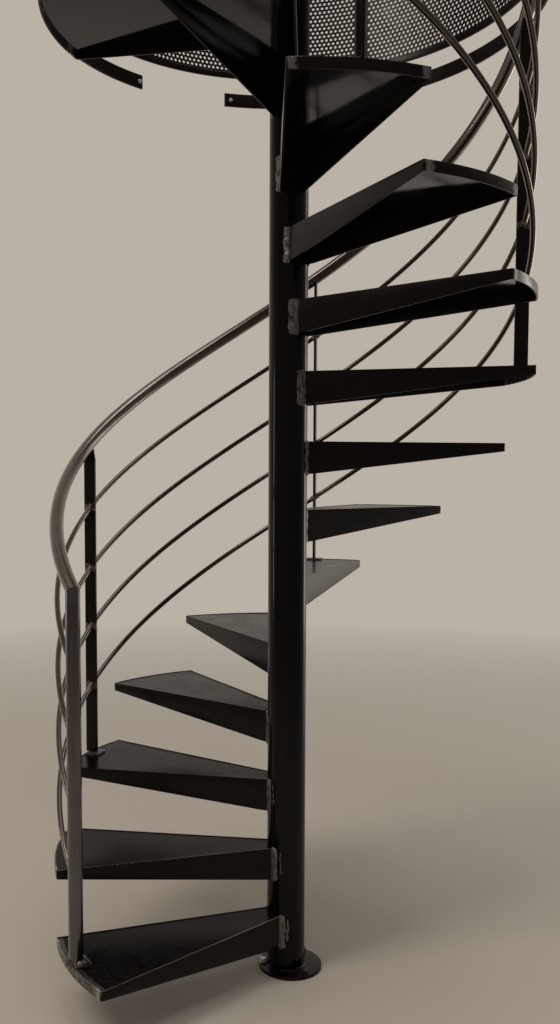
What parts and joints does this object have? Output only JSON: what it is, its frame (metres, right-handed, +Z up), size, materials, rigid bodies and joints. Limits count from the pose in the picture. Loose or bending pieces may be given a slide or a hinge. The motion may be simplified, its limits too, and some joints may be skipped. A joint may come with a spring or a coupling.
{
  "type": "spiral staircase",
  "caption": "Black welded steel spiral staircase round a central column, with wedge treads, brushed round handrail and rods, a quarter landing and a perforated guard",
  "frame": {"origin": "on the floor, on the axis of the central column, in the underside of the base plate", "axes": "+Z up; -X is the left of the stair and -Y its front, as pictured; the stair climbs clockwise seen from above"},
  "size_m": [1.4477, 1.4719, 3.91],
  "materials": {
    "black_lacquer": "black satin lacquer on welded steel",
    "brushed_tube": "bare round steel tube and rod, brushed and clear-lacquered",
    "wall_flat_steel": "dark brown-black painted rolled flat",
    "perforated_sheet": "dark painted sheet with round perforations"
  },
  "bodies": {
    "root": {"baluster_03": "black_lacquer", "baluster_06": "black_lacquer", "baluster_09": "black_lacquer", "baluster_12": "black_lacquer", "base_plate": "black_lacquer", "bottom_newel": "brushed_tube", "column": "black_lacquer", "column_cap": "black_lacquer", "corner_newel": "brushed_tube", "guard_panel_1": "perforated_sheet", "guard_panel_2": "perforated_sheet", "guard_panel_3": "perforated_sheet", "guard_post_1": "black_lacquer", "guard_post_2": "black_lacquer", "guard_post_3": "black_lacquer", "guard_post_4": "black_lacquer", "guard_rail_1": "brushed_tube", "guard_rail_2": "brushed_tube", "guard_rail_3": "brushed_tube", "handrail": "brushed_tube", "landing": "black_lacquer", "landing_rail": "brushed_tube", "landing_rods": "brushed_tube", "rod_1": "brushed_tube", "rod_2": "brushed_tube", "rod_3": "brushed_tube", "rod_4": "brushed_tube", "top_newel": "brushed_tube", "tread_01": "black_lacquer", "tread_02": "black_lacquer", "tread_03": "black_lacquer", "tread_04": "black_lacquer", "tread_05": "black_lacquer", "tread_06": "black_lacquer", "tread_07": "black_lacquer", "tread_08": "black_lacquer", "tread_09": "black_lacquer", "tread_10": "black_lacquer", "tread_11": "black_lacquer", "tread_12": "black_lacquer", "tread_13": "black_lacquer", "wall_flat_1": "wall_flat_steel", "wall_flat_2": "wall_flat_steel", "wall_flat_3": "wall_flat_steel", "wall_flat_4": "wall_flat_steel"}
  },
  "joints": []
}
